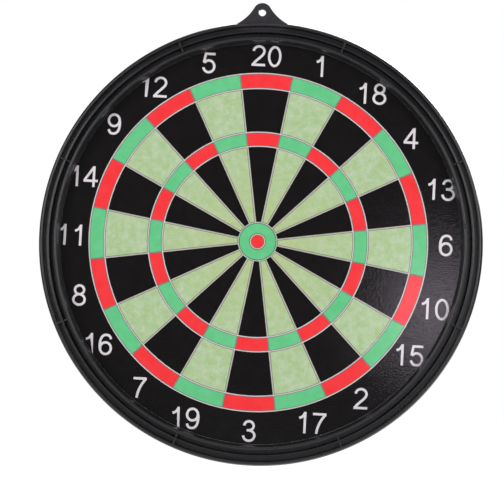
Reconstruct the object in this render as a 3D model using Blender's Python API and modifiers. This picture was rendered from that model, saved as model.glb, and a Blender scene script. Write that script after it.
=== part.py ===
"""Magnetic dartboard, 42.5 cm across: a moulded ring with a hanging tab holds a printed film, a steel
sheet and a core board, and a screwed-on cover with rubber pads closes the back.

The board is modelled flat, in its own frame: x to the right, y up and z towards the player, with z = 0 at
the wall and the middle of the face on the z axis. One empty then stands it up, so that it faces -Y and
the world's origin is where the hanging hole's axis meets the wall. Angles are clock angles in degrees,
from the top, as the player sees them.
"""

import math

import bmesh
import bpy
from mathutils import Matrix, Vector

MM = 0.001
SEGMENTS = 80
GAP = 0.3 * MM
OVERLAP = 0.6 * MM  # how far a joined shape reaches into the one that it joins

# Driving dimensions of the whole board.
BOARD_RADIUS = 212.5 * MM
LIP_CREST_Z = 26.0 * MM
FACE_Z = 12.0 * MM
BACK_Z = 2.0 * MM
FRAME_WALL = 2.0 * MM

# The ring's lip, middle rib and outer wall, with the two channels between them.
LIP_FOOT_RADIUS = 192.1 * MM
LIP_INNER_RADIUS = 193.0 * MM
LIP_OUTER_RADIUS = 195.7 * MM
CHANNEL_FLOOR_Z = 14.4 * MM
MID_RIB_RADIUS = 201.7 * MM
MID_RIB_THICKNESS = 1.1 * MM
MID_RIB_Z = 20.5 * MM
OUTER_CREST_INNER_RADIUS = 207.7 * MM
OUTER_CREST_OUTER_RADIUS = 209.2 * MM
OUTER_CREST_Z = 19.5 * MM
SHOULDER_Z = 8.0 * MM
WALL_DRAFT = 0.3 * MM
CREST_CHAMFER = 0.4 * MM
LIP_CHAMFER = 1.0 * MM

# The stack, front to back: the film lies inside the lip, the sheet and the core reach under the ring.
FILM_RADIUS = LIP_FOOT_RADIUS - GAP
FILM_THICKNESS = 0.5 * MM
SHEET_RADIUS = 197.2 * MM
SHEET_THICKNESS = 0.6 * MM
CORE_RADIUS = 198.6 * MM
CORE_THICKNESS = 5.4 * MM

# The ring's underside: a flange over the steel sheet's edge and a skirt round the stack.
FLANGE_Z = FACE_Z - FILM_THICKNESS
SKIRT_INNER_RADIUS = 199.4 * MM
SKIRT_END_Z = 4.3 * MM

# What crosses or marks the ring.
RADIAL_RIBS = 8
FIRST_RIB_DEG = 22.5
RIB_THICKNESS = 1.5 * MM
RIB_TOP_Z = 19.3 * MM
LIP_NOTCHES_DEG = (5.0, 85.0, 175.0)
NOTCH_WIDTH = 3.5 * MM
NOTCH_DEPTH = 1.4 * MM
GATE_MARKS_DEG = (51.5, 85.0, 129.0, 274.0)
GATE_MARK_RADIUS = 0.9 * MM
GATE_MARK_PROUD = 0.4 * MM

# Hanging tab: a round tip, a hole, and hollow flanks that run out into the ring.
HOLE_Y = 221.0 * MM
HOLE_RADIUS = 3.5 * MM
TAB_TIP_Y = 221.4 * MM
TAB_TIP_RADIUS = 8.8 * MM
TAB_FLANK_RADIUS = 42.0 * MM
TAB_HALF_BASE = 25.5 * MM
TAB_BASE_RADIUS = 211.0 * MM
TAB_ROOT_RADIUS = 209.3 * MM
TAB_FRONT_Z = 17.0 * MM
TAB_THICKNESS = 4.0 * MM

# Rear cover: a band at the edge, a field set back from it, and ribs across the field.
COVER_RADIUS = 210.1 * MM
COVER_THICKNESS = 2.0 * MM
BAND_INNER_RADIUS = 187.5 * MM
FIELD_Z = 2.8 * MM
FIELD_THICKNESS = 1.8 * MM
COVER_RINGS = (62.0 * MM, 126.0 * MM)
HUB_RADIUS = 15.0 * MM
COVER_RIB_WIDTH = 2.6 * MM
RING_SLOPE = 0.5 * MM
COVER_RIB_SETBACK = 0.05 * MM

# Screws, their bosses in the ring and their countersinks in the cover.
SCREW_CIRCLE = 205.8 * MM
SCREW_LENGTH = 9.2 * MM
SCREW_HEAD_RADIUS = 2.8 * MM
SCREW_HEAD_RIM = 0.2 * MM
SCREW_SHANK_RADIUS = 1.2 * MM
SCREW_TIP_RADIUS = 0.35 * MM
SCREW_SET_IN = 0.1 * MM
SCREW_SIDES = 16
BOSS_RADIUS = 3.4 * MM
BOSS_TOP_Z = 13.4 * MM
BORE_END_Z = 11.9 * MM

# Wall pads in shallow round seats.
PAD_COUNT = 4
FIRST_PAD_DEG = 45.0
PAD_CIRCLE = 197.5 * MM
PAD_RADIUS = 8.0 * MM
PAD_SEAT_DEPTH = 0.5 * MM
PAD_CHAMFER = 0.6 * MM


def start_scene():
    """Empty the scene, and return the parts' and cutters' collections and the empty that carries all."""
    for obj in list(bpy.data.objects):
        bpy.data.objects.remove(obj)
    collections = []
    for name in ("magnetic_dartboard", "cutters"):
        collection = bpy.data.collections.new(name)
        bpy.context.scene.collection.children.link(collection)
        collections.append(collection)
    board = bpy.data.objects.new("board", None)
    board.location = (0, 0, -HOLE_Y)
    board.rotation_euler = (math.radians(90), 0, 0)
    collections[0].objects.link(board)
    return collections[0], collections[1], board


parts, cutters, board = start_scene()


def material(name, colour, roughness, metallic=0.0):
    made = bpy.data.materials.new(name)
    made.use_nodes = True
    shader = made.node_tree.nodes["Principled BSDF"]
    shader.inputs["Base Color"].default_value = (*colour, 1)
    shader.inputs["Roughness"].default_value = roughness
    shader.inputs["Metallic"].default_value = metallic
    return made


def add_part(name, mesh, finish):
    """A sub-part: an object that rides on the board's empty."""
    obj = bpy.data.objects.new(name, mesh)
    if not mesh.materials:
        mesh.materials.append(finish)
    obj.parent = board
    parts.objects.link(obj)
    return obj


def add_cutter(name, mesh):
    obj = bpy.data.objects.new(name, mesh)
    obj.parent = board
    obj.hide_render = True
    obj.display_type = "WIRE"
    cutters.objects.link(obj)
    return obj


def boolean(obj, operation, other):
    modifier = obj.modifiers.new(other.name, "BOOLEAN")
    modifier.operation = operation
    modifier.object = other


def screw(obj, steps):
    """Turn the profile in the object's xz plane once round its z axis."""
    modifier = obj.modifiers.new("turned", "SCREW")
    modifier.axis = "Z"
    modifier.angle = math.tau
    modifier.steps = modifier.render_steps = steps
    modifier.use_merge_vertices = True
    modifier.merge_threshold = 0.00001
    modifier.use_smooth_shade = False


def profile_mesh(name, points, closed):
    """Points are (radius, z), down the outer side, as the Screw modifier needs them to face outwards."""
    edges = [(i, i + 1) for i in range(len(points) - 1)]
    if closed:
        edges.append((len(points) - 1, 0))
    mesh = bpy.data.meshes.new(name)
    mesh.from_pydata([(radius, 0, z) for radius, z in points], edges, [])
    return mesh


def chamfered(corners):
    """Points of a closed profile from (radius, z, chamfer) corners, a chamfer measured along each edge."""
    points = []
    for i, (radius, z, chamfer) in enumerate(corners):
        corner = Vector((radius, z))
        if not chamfer:
            points.append(corner[:])
            continue
        before = Vector(corners[i - 1][:2])
        after = Vector(corners[(i + 1) % len(corners)][:2])
        points += [(corner + chamfer * (end - corner).normalized())[:] for end in (before, after)]
    return points


def clock_place(angle, radius, z):
    """The frame at this clock angle and radius: its y axis points away from the middle of the face."""
    return Matrix.Rotation(-math.radians(angle), 4, "Z") @ Matrix.Translation((0, radius, z))


def bars_mesh(name, angles, inner, outer, width, low, high):
    """Radial bars, one at each clock angle, each a box from radius inner to outer and from z low to high."""
    shape = bmesh.new()
    size = Matrix.Diagonal((width, outer - inner, high - low, 1))
    for angle in angles:
        place = clock_place(angle, (inner + outer) / 2, (low + high) / 2)
        bmesh.ops.create_cube(shape, size=1, matrix=place @ size)
    return finished(shape, name)


def studs_mesh(name, angles, circle, radius_low, radius_high, low, high, sides=SCREW_SIDES):
    """Round studs, straight or conical, one at each clock angle on a circle."""
    shape = bmesh.new()
    for angle in angles:
        bmesh.ops.create_cone(
            shape,
            cap_ends=True,
            segments=sides,
            radius1=radius_low,
            radius2=radius_high,
            depth=high - low,
            matrix=clock_place(angle, circle, (low + high) / 2),
        )
    return finished(shape, name)


def finished(shape, name):
    mesh = bpy.data.meshes.new(name)
    shape.to_mesh(mesh)
    shape.free()
    return mesh


def every(count, first):
    return [first + i * 360 / count for i in range(count)]


rib_angles = every(RADIAL_RIBS, FIRST_RIB_DEG)


# Front frame -------------------------------------------------------------------------------------------


def frame_section():
    """The ring's closed section, up the lip's inner side, over the three crests and back underneath."""
    rib_half = MID_RIB_THICKNESS / 2
    outer_wall_inside = BOARD_RADIUS - FRAME_WALL
    up_and_over = [
        (LIP_FOOT_RADIUS, FLANGE_Z, 0),
        (LIP_INNER_RADIUS, LIP_CREST_Z, LIP_CHAMFER),
        (LIP_OUTER_RADIUS, LIP_CREST_Z, CREST_CHAMFER),
        (LIP_OUTER_RADIUS + 2 * WALL_DRAFT, CHANNEL_FLOOR_Z, 0),
        (MID_RIB_RADIUS - rib_half - WALL_DRAFT, CHANNEL_FLOOR_Z, 0),
        (MID_RIB_RADIUS - rib_half, MID_RIB_Z, CREST_CHAMFER / 2),
        (MID_RIB_RADIUS + rib_half, MID_RIB_Z, CREST_CHAMFER / 2),
        (MID_RIB_RADIUS + rib_half + WALL_DRAFT, CHANNEL_FLOOR_Z, 0),
        (OUTER_CREST_INNER_RADIUS - WALL_DRAFT, CHANNEL_FLOOR_Z, 0),
        (OUTER_CREST_INNER_RADIUS, OUTER_CREST_Z, CREST_CHAMFER),
        (OUTER_CREST_OUTER_RADIUS, OUTER_CREST_Z, CREST_CHAMFER),
    ]
    shoulder = []
    for step in range(1, 5):
        turn = math.radians(90) * step / 4
        radius = OUTER_CREST_OUTER_RADIUS + (BOARD_RADIUS - OUTER_CREST_OUTER_RADIUS) * math.sin(turn)
        shoulder.append((radius, SHOULDER_Z + (OUTER_CREST_Z - SHOULDER_Z) * math.cos(turn), 0))
    underneath = [
        (BOARD_RADIUS, BACK_Z, CREST_CHAMFER),
        (outer_wall_inside, BACK_Z, 0),
        (outer_wall_inside, FLANGE_Z, 0),
        (SKIRT_INNER_RADIUS + FRAME_WALL, FLANGE_Z, 0),
        (SKIRT_INNER_RADIUS + FRAME_WALL, SKIRT_END_Z, 0),
        (SKIRT_INNER_RADIUS, SKIRT_END_Z, 0),
        (SKIRT_INNER_RADIUS, FLANGE_Z, 0),
    ]
    return chamfered(up_and_over + shoulder + underneath)


def arc(centre, radius, start, end, steps):
    """Points of an arc, from one direction to another, in radians from +x."""
    turns = [start + (end - start) * i / steps for i in range(steps + 1)]
    return [centre + radius * Vector((math.cos(turn), math.sin(turn))) for turn in turns]


def tab_outline():
    """The tab's right half from base to tip, mirrored, and closed by an arc inside the ring's wall.

    The flank is hollow: an arc that touches the tip's circle and starts at the base's corner.
    """
    tip = Vector((0, TAB_TIP_Y))
    base = Vector((TAB_HALF_BASE, math.sqrt(TAB_BASE_RADIUS**2 - TAB_HALF_BASE**2)))
    to_base = base - tip
    reach = TAB_TIP_RADIUS + TAB_FLANK_RADIUS
    along = (reach**2 - TAB_FLANK_RADIUS**2 + to_base.length_squared) / (2 * to_base.length)
    aside = math.sqrt(reach**2 - along**2)
    direction = to_base.normalized()
    flank = tip + along * direction + aside * Vector((-direction.y, direction.x))
    to_tip = tip - flank
    start = math.atan2(base.y - flank.y, base.x - flank.x) % math.tau
    touch = math.atan2(to_tip.y, to_tip.x) % math.tau
    right = arc(flank, TAB_FLANK_RADIUS, start, touch, 8)
    right += arc(tip, TAB_TIP_RADIUS, touch - math.pi, math.pi / 2, 6)[1:]
    left = [Vector((-point.x, point.y)) for point in reversed(right[:-1])]
    half_root = math.asin((TAB_HALF_BASE - MM) / TAB_ROOT_RADIUS)
    root = arc(Vector((0, 0)), TAB_ROOT_RADIUS, math.pi / 2 + half_root, math.pi / 2 - half_root, 8)
    return right + left + root


def plate_mesh(name, outline, back, front):
    """A flat outline as a filled 2D curve with thickness, made a closed mesh."""
    curve = bpy.data.curves.new(name, "CURVE")
    curve.dimensions = "2D"
    curve.fill_mode = "BOTH"
    curve.extrude = (front - back) / 2
    spline = curve.splines.new("POLY")
    spline.points.add(len(outline) - 1)
    for point, place in zip(spline.points, outline):
        point.co = (*place, 0, 1)
    spline.use_cyclic_u = True
    flat = bpy.data.objects.new(name, curve)
    cutters.objects.link(flat)
    mesh = bpy.data.meshes.new_from_object(flat.evaluated_get(bpy.context.evaluated_depsgraph_get()))
    bpy.data.objects.remove(flat)
    bpy.data.curves.remove(curve)
    shape = bmesh.new()
    shape.from_mesh(mesh)
    bmesh.ops.remove_doubles(shape, verts=shape.verts, dist=0.00001)
    bmesh.ops.recalc_face_normals(shape, faces=shape.faces)
    bmesh.ops.translate(shape, verts=shape.verts, vec=(0, 0, (front + back) / 2))
    shape.to_mesh(mesh)
    shape.free()
    return mesh


def make_front_frame():
    finish = material("black_abs_frame", (0.026, 0.026, 0.029), 0.42)
    frame = add_part("front_frame", profile_mesh("front_frame", frame_section(), True), finish)
    screw(frame, SEGMENTS)
    ribs = bars_mesh(
        "radial_ribs",
        rib_angles,
        LIP_OUTER_RADIUS - OVERLAP,
        OUTER_CREST_INNER_RADIUS + OVERLAP,
        RIB_THICKNESS,
        CHANNEL_FLOOR_Z - OVERLAP,
        RIB_TOP_Z,
    )
    boolean(frame, "UNION", add_cutter("radial_ribs", ribs))
    webs = bars_mesh(
        "boss_webs",
        rib_angles,
        SKIRT_INNER_RADIUS + OVERLAP,
        BOARD_RADIUS - OVERLAP,
        RIB_THICKNESS,
        SKIRT_END_Z + OVERLAP,
        BOSS_TOP_Z,
    )
    boolean(frame, "UNION", add_cutter("boss_webs", webs))
    bosses = studs_mesh(
        "bosses", rib_angles, SCREW_CIRCLE, BOSS_RADIUS, BOSS_RADIUS, SKIRT_END_Z, BOSS_TOP_Z
    )
    boolean(frame, "UNION", add_cutter("bosses", bosses))
    marks = studs_mesh(
        "gate_marks",
        GATE_MARKS_DEG,
        MID_RIB_RADIUS,
        GATE_MARK_RADIUS,
        GATE_MARK_RADIUS,
        MID_RIB_Z - 2 * GATE_MARK_RADIUS,
        MID_RIB_Z + GATE_MARK_PROUD,
        8,
    )
    boolean(frame, "UNION", add_cutter("gate_marks", marks))
    tab = plate_mesh("hanging_tab", tab_outline(), TAB_FRONT_Z - TAB_THICKNESS, TAB_FRONT_Z)
    boolean(frame, "UNION", add_cutter("hanging_tab", tab))
    bore = SCREW_SHANK_RADIUS + GAP
    bores = studs_mesh("boss_bores", rib_angles, SCREW_CIRCLE, bore, bore, BACK_Z, BORE_END_Z)
    boolean(frame, "DIFFERENCE", add_cutter("boss_bores", bores))
    hole = studs_mesh("hanging_hole", (0,), HOLE_Y, HOLE_RADIUS, HOLE_RADIUS, 0, LIP_CREST_Z, 32)
    boolean(frame, "DIFFERENCE", add_cutter("hanging_hole", hole))
    notches = bars_mesh(
        "lip_notches",
        LIP_NOTCHES_DEG,
        LIP_FOOT_RADIUS - 2 * MM,
        LIP_OUTER_RADIUS + 2 * MM,
        NOTCH_WIDTH,
        LIP_CREST_Z - NOTCH_DEPTH,
        LIP_CREST_Z + 2 * MM,
    )
    boolean(frame, "DIFFERENCE", add_cutter("lip_notches", notches))


# Film, steel sheet and core board ----------------------------------------------------------------------


def make_stack():
    """Three discs, one behind the other, each a gap apart."""
    layers = (
        ("printed_film", FILM_RADIUS, FILM_THICKNESS, material("printed_film", (0.012, 0.011, 0.010), 0.3)),
        ("steel_sheet", SHEET_RADIUS, SHEET_THICKNESS, material("tinplate", (0.55, 0.56, 0.57), 0.35, 1.0)),
        ("core_board", CORE_RADIUS, CORE_THICKNESS, material("fibreboard", (0.30, 0.20, 0.12), 0.85)),
    )
    front = FACE_Z
    for name, radius, thickness, finish in layers:
        shape = bmesh.new()
        place = Matrix.Translation((0, 0, front - thickness / 2))
        bmesh.ops.create_cone(
            shape,
            cap_ends=True,
            segments=SEGMENTS,
            radius1=radius,
            radius2=radius,
            depth=thickness,
            matrix=place,
        )
        add_part(name, finished(shape, name), finish)
        front -= thickness + GAP


# Rear cover --------------------------------------------------------------------------------------------


def cover_section():
    """The cover's open section: out along its front side, round its edge and back to the axis."""
    field_front = FIELD_Z + FIELD_THICKNESS
    band_front = BACK_Z + COVER_THICKNESS
    points = [(0, field_front), (BAND_INNER_RADIUS, field_front)]
    points.append((BAND_INNER_RADIUS + RING_SLOPE, band_front))
    points += [(COVER_RADIUS, band_front), (COVER_RADIUS, BACK_Z + CREST_CHAMFER)]
    points += [(COVER_RADIUS - CREST_CHAMFER, BACK_Z), (BAND_INNER_RADIUS, BACK_Z)]
    points.append((BAND_INNER_RADIUS - RING_SLOPE, FIELD_Z))
    half = COVER_RIB_WIDTH / 2
    for ring in reversed(COVER_RINGS):
        points += [(ring + half + RING_SLOPE, FIELD_Z), (ring + half, BACK_Z)]
        points += [(ring - half, BACK_Z), (ring - half - RING_SLOPE, FIELD_Z)]
    points += [(HUB_RADIUS + RING_SLOPE, FIELD_Z), (HUB_RADIUS, BACK_Z), (0, BACK_Z)]
    return points


def make_rear_cover():
    finish = material("black_abs_cover", (0.022, 0.022, 0.024), 0.55)
    cover = add_part("rear_cover", profile_mesh("rear_cover", cover_section(), False), finish)
    screw(cover, SEGMENTS)
    ribs = bars_mesh(
        "cover_ribs",
        every(RADIAL_RIBS, 0),
        COVER_RINGS[0],
        BAND_INNER_RADIUS + RING_SLOPE,
        COVER_RIB_WIDTH,
        BACK_Z + COVER_RIB_SETBACK,
        FIELD_Z + FIELD_THICKNESS / 2,
    )
    boolean(cover, "UNION", add_cutter("cover_ribs", ribs))
    clear = SCREW_SHANK_RADIUS + GAP
    below = BACK_Z - GAP
    mouth = SCREW_HEAD_RADIUS + 3 * GAP
    sinks = studs_mesh("countersinks", rib_angles, SCREW_CIRCLE, mouth, clear, below, below + mouth - clear)
    boolean(cover, "DIFFERENCE", add_cutter("countersinks", sinks))
    through = BACK_Z + 2 * COVER_THICKNESS
    holes = studs_mesh("screw_holes", rib_angles, SCREW_CIRCLE, clear, clear, below, through)
    boolean(cover, "DIFFERENCE", add_cutter("screw_holes", holes))
    seat = PAD_RADIUS + GAP
    seats = studs_mesh(
        "pad_seats",
        every(PAD_COUNT, FIRST_PAD_DEG),
        PAD_CIRCLE,
        seat,
        seat,
        BACK_Z - MM,
        BACK_Z + PAD_SEAT_DEPTH,
        32,
    )
    boolean(cover, "DIFFERENCE", add_cutter("pad_seats", seats))


# Screws and wall pads ----------------------------------------------------------------------------------


def make_screws():
    """Countersunk screws, all on one turned mesh: the z axis runs from the head's face to the tip."""
    finish = material("zinc_plated_steel", (0.50, 0.51, 0.53), 0.32, 1.0)
    neck = SCREW_HEAD_RADIUS - SCREW_SHANK_RADIUS
    profile = [
        (0, SCREW_LENGTH),
        (SCREW_TIP_RADIUS, SCREW_LENGTH),
        (SCREW_SHANK_RADIUS, SCREW_LENGTH - 2 * SCREW_SHANK_RADIUS),
        (SCREW_SHANK_RADIUS, neck),
        (SCREW_HEAD_RADIUS, SCREW_HEAD_RIM),
        (SCREW_HEAD_RADIUS, 0),
        (0, 0),
    ]
    mesh = profile_mesh("screw", profile, False)
    for number, angle in enumerate(rib_angles, 1):
        part = add_part(f"screw_{number}", mesh, finish)
        part.matrix_local = clock_place(angle, SCREW_CIRCLE, BACK_Z + SCREW_SET_IN)
        screw(part, SCREW_SIDES)


def make_wall_pads():
    """Rubber pads, each from its seat to the wall, with the wall side's edge chamfered."""
    finish = material("black_rubber", (0.018, 0.018, 0.019), 0.8)
    top = BACK_Z + PAD_SEAT_DEPTH - GAP
    profile = [(0, top), (PAD_RADIUS, top), (PAD_RADIUS, PAD_CHAMFER), (PAD_RADIUS - PAD_CHAMFER, 0), (0, 0)]
    mesh = profile_mesh("wall_pad", profile, False)
    for number, angle in enumerate(every(PAD_COUNT, FIRST_PAD_DEG), 1):
        pad = add_part(f"wall_pad_{number}", mesh, finish)
        pad.matrix_local = clock_place(angle, PAD_CIRCLE, 0)
        screw(pad, 32)


make_front_frame()
make_stack()
make_rear_cover()
make_screws()
make_wall_pads()
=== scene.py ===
import math

import bmesh
import bpy
from mathutils import Matrix, Vector
from mathutils.geometry import delaunay_2d_cdt, interpolate_bezier


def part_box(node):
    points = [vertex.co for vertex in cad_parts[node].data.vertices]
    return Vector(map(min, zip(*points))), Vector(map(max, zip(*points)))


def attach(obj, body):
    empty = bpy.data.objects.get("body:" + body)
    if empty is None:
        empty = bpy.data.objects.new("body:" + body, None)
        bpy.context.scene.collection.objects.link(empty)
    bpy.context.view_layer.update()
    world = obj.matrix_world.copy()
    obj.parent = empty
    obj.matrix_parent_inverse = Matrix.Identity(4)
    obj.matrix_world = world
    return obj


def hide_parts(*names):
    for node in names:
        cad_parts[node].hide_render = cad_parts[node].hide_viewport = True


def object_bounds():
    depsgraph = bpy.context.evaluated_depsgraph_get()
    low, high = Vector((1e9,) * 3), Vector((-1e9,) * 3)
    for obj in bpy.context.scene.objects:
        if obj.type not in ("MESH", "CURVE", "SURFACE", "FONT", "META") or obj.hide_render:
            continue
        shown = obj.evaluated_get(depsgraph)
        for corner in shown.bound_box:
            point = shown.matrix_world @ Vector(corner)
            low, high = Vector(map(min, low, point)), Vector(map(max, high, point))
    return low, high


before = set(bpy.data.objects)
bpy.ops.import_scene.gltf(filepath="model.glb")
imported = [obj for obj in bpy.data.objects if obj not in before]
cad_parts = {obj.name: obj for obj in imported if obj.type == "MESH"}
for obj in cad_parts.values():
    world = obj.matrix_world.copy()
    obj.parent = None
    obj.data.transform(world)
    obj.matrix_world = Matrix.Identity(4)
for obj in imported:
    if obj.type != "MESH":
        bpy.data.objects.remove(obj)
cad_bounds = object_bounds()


# Front ring --------------------------------------------------------------------------------------------
# One injection moulding in black ABS that everything else is put into from behind: a tall lip round the
# face, a middle rib, an outer wall with a rounded shoulder, eight cross ribs and a tab to hang it by.

MM = 0.001
ROUND_STEPS = 288

ring_low, ring_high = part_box("front_frame")
film_low, film_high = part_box("printed_film")
wall_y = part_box("wall_pad_1")[1].y

# Every piece is made lying flat: x to the player's right, y up, z from the wall towards the player, with
# the middle of the face on the z axis. BOARD stands it up in its place.
middle = (film_low + film_high) / 2
BOARD = Matrix.Translation((middle.x, wall_y, middle.z)) @ Matrix.Rotation(math.radians(90), 4, "X")

BOARD_RADIUS = (ring_high.x - ring_low.x) / 2
LIP_CREST_Z = wall_y - ring_low.y
FACE_Z = wall_y - film_low.y
BACK_Z = wall_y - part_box("rear_cover")[1].y
FLANGE_Z = wall_y - film_high.y

LIP_FOOT_RADIUS = 192.1 * MM
LIP_INNER_RADIUS = 193.0 * MM
LIP_OUTER_RADIUS = 195.7 * MM
CHANNEL_FLOOR_Z = 14.4 * MM
MID_RIB_RADIUS = 201.7 * MM
MID_RIB_THICKNESS = 1.1 * MM
MID_RIB_Z = 20.5 * MM
OUTER_CREST_INNER_RADIUS = 207.7 * MM
OUTER_CREST_OUTER_RADIUS = 209.2 * MM
OUTER_CREST_Z = 19.5 * MM
SHOULDER_Z = 8.0 * MM
WALL_DRAFT = 0.3 * MM
WALL_INSIDE_RADIUS = BOARD_RADIUS - 2.0 * MM
SKIRT_INNER_RADIUS = 199.4 * MM
SKIRT_OUTER_RADIUS = 201.4 * MM
SKIRT_END_Z = 4.3 * MM
REACH = 0.6 * MM  # how far a joined shape goes into the one that it joins

CROSS_RIBS_DEG = [22.5 + 45 * i for i in range(8)]
CROSS_RIB_THICKNESS = 1.5 * MM
CROSS_RIB_Z = 19.3 * MM
LIP_NOTCHES_DEG = (5.0, 85.0, 175.0)
NOTCH_WIDTH = 3.5 * MM
NOTCH_DEPTH = 1.4 * MM
GATE_MARKS_DEG = (51.5, 85.0, 129.0, 274.0)
GATE_MARK_RADIUS = 0.9 * MM
GATE_MARK_PROUD = 0.4 * MM

HOLE_Y = -middle.z
HOLE_RADIUS = 3.5 * MM
TAB_TIP_Y = HOLE_Y + 0.4 * MM
TAB_TIP_RADIUS = 8.8 * MM
TAB_FLANK_RADIUS = 42.0 * MM
TAB_HALF_BASE = 25.5 * MM
TAB_BASE_RADIUS = 211.0 * MM
TAB_ROOT_RADIUS = 209.3 * MM
TAB_FRONT_Z = 17.0 * MM
TAB_BACK_Z = 13.0 * MM

SCREW_CIRCLE = 205.8 * MM
SCREW_CLEARANCE_RADIUS = 1.5 * MM
BOSS_RADIUS = 3.4 * MM
BOSS_TOP_Z = 13.4 * MM
BORE_END_Z = 11.9 * MM


def rounded(corners, steps=4):
    """Points of a closed outline from (x, y, fillet) corners, each fillet an arc that touches both sides."""
    points = []
    for i, (x, y, fillet) in enumerate(corners):
        corner = Vector((x, y))
        if not fillet:
            points.append(corner)
            continue
        before = (Vector(corners[i - 1][:2]) - corner).normalized()
        after = (Vector(corners[(i + 1) % len(corners)][:2]) - corner).normalized()
        half = before.angle(after) / 2
        centre = corner + (before + after).normalized() * fillet / math.sin(half)
        start = corner + before * fillet / math.tan(half) - centre
        end = corner + after * fillet / math.tan(half) - centre
        points += [centre + fillet * start.slerp(end, step / steps) for step in range(steps + 1)]
    return points


def turn(shape, profile, place=Matrix(), steps=ROUND_STEPS, closed=False):
    """Add to a bmesh the body that a profile of (radius, z) points makes when turned round the z axis."""
    rings = []
    for radius, z in profile:
        if radius < 1e-7:
            rings.append([shape.verts.new(place @ Vector((0, 0, z)))] * steps)
            continue
        turns = [math.tau * step / steps for step in range(steps)]
        corners = [Vector((radius * math.sin(t), radius * math.cos(t), z)) for t in turns]
        rings.append([shape.verts.new(place @ corner) for corner in corners])
    pairs = list(zip(rings, rings[1:]))
    if closed:
        pairs.append((rings[-1], rings[0]))
    for one, other in pairs:
        for i in range(steps):
            corners = dict.fromkeys([one[i - 1], one[i], other[i], other[i - 1]])
            if len(corners) > 2:
                shape.faces.new(corners)


def prism(shape, outline, low, high, place=Matrix()):
    """Add to a bmesh a closed body with the same (x, y) outline from z = low to z = high."""
    ends = [[shape.verts.new(place @ Vector((x, y, z))) for x, y in outline] for z in (low, high)]
    faces = [shape.faces.new(ends[0][::-1]), shape.faces.new(ends[1])]
    for i in range(len(outline)):
        faces.append(shape.faces.new((ends[0][i - 1], ends[0][i], ends[1][i], ends[1][i - 1])))
    return faces


def clock_place(angle, radius=0.0, z=0.0):
    """The frame at a clock angle and radius: its y axis points away from the middle of the face."""
    return Matrix.Rotation(-math.radians(angle), 4, "Z") @ Matrix.Translation((0, radius, z))


def radial_bar(shape, angle, inner, outer, width, low, high, fillet):
    """Add a bar that lies along a clock angle, with its two upper edges rounded."""
    half = width / 2
    section = rounded([(-half, low, 0), (half, low, 0), (half, high, fillet), (-half, high, fillet)], 3)
    lying = Matrix.Rotation(math.radians(90), 4, "X")
    prism(shape, section, -outer, -inner, clock_place(angle) @ lying)


def made_mesh(name, shape):
    """The bmesh as a mesh with its faces out, smooth apart from its sharp edges."""
    bmesh.ops.recalc_face_normals(shape, faces=shape.faces)
    mesh = bpy.data.meshes.new(name)
    shape.to_mesh(mesh)
    shape.free()
    return soften(mesh)


def soften(mesh, sharp_deg=32):
    mesh.polygons.foreach_set("use_smooth", [True] * len(mesh.polygons))
    mesh.set_sharp_from_angle(angle=math.radians(sharp_deg))
    return mesh


def combined(name, base, *steps):
    """A mesh after the Boolean steps (operation, bmesh) have been worked on it in turn."""
    body = bpy.data.objects.new(name, made_mesh(name, base))
    tools = [bpy.data.objects.new(name + "_tool", made_mesh(name + "_tool", tool)) for _, tool in steps]
    for thing in (body, *tools):
        bpy.context.scene.collection.objects.link(thing)
    for (operation, _), tool in zip(steps, tools):
        modifier = body.modifiers.new(operation, "BOOLEAN")
        modifier.operation = operation
        modifier.solver = "EXACT"
        modifier.object = tool
    mesh = bpy.data.meshes.new_from_object(body.evaluated_get(bpy.context.evaluated_depsgraph_get()))
    mesh.name = name
    for thing in (body, *tools):
        spare = thing.data
        bpy.data.objects.remove(thing)
        bpy.data.meshes.remove(spare)
    return soften(mesh)


def fit(name, mesh, finishes, nodes, place=BOARD):
    """Put a piece in its place on the board, for the CAD nodes that it stands for."""
    piece = bpy.data.objects.new(name, mesh)
    bpy.context.scene.collection.objects.link(piece)
    if not mesh.materials:
        for finish in finishes:
            mesh.materials.append(finish)
    piece.matrix_world = place
    if nodes:
        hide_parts(*nodes)
    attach(piece, "root")
    return piece


def linear(code):
    """An sRGB hex colour as linear RGBA."""
    channels = [int(code[i : i + 2], 16) / 255 for i in (1, 3, 5)]
    return (*[c / 12.92 if c <= 0.04045 else ((c + 0.055) / 1.055) ** 2.4 for c in channels], 1)


def add(tree, kind, values=(), links=(), **settings):
    """Add a shader node, with its settings, its input values and the sockets linked to its inputs."""
    node = tree.nodes.new("ShaderNode" + kind)
    for name, value in settings.items():
        setattr(node, name, value)
    for socket, value in dict(values).items():
        node.inputs[socket].default_value = value
    for socket, source in dict(links).items():
        tree.links.new(source, node.inputs[socket])
    return node


def new_finish(name, colour, roughness, ior=None, metallic=0.0):
    """A material with its shader's steady values set, and its surface coordinates in millimetres."""
    finish = bpy.data.materials.new(name)
    finish.use_nodes = True
    tree = finish.node_tree
    shader = tree.nodes["Principled BSDF"]
    shader.inputs["Base Color"].default_value = linear(colour)
    shader.inputs["Roughness"].default_value = roughness
    shader.inputs["Metallic"].default_value = metallic
    if ior:
        shader.inputs["IOR"].default_value = ior
    place = add(tree, "TexCoord").outputs["Object"]
    in_mm = add(tree, "VectorMath", {1: (1 / MM,) * 3}, {0: place}, operation="MULTIPLY").outputs[0]
    return finish, tree, shader, in_mm


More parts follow.
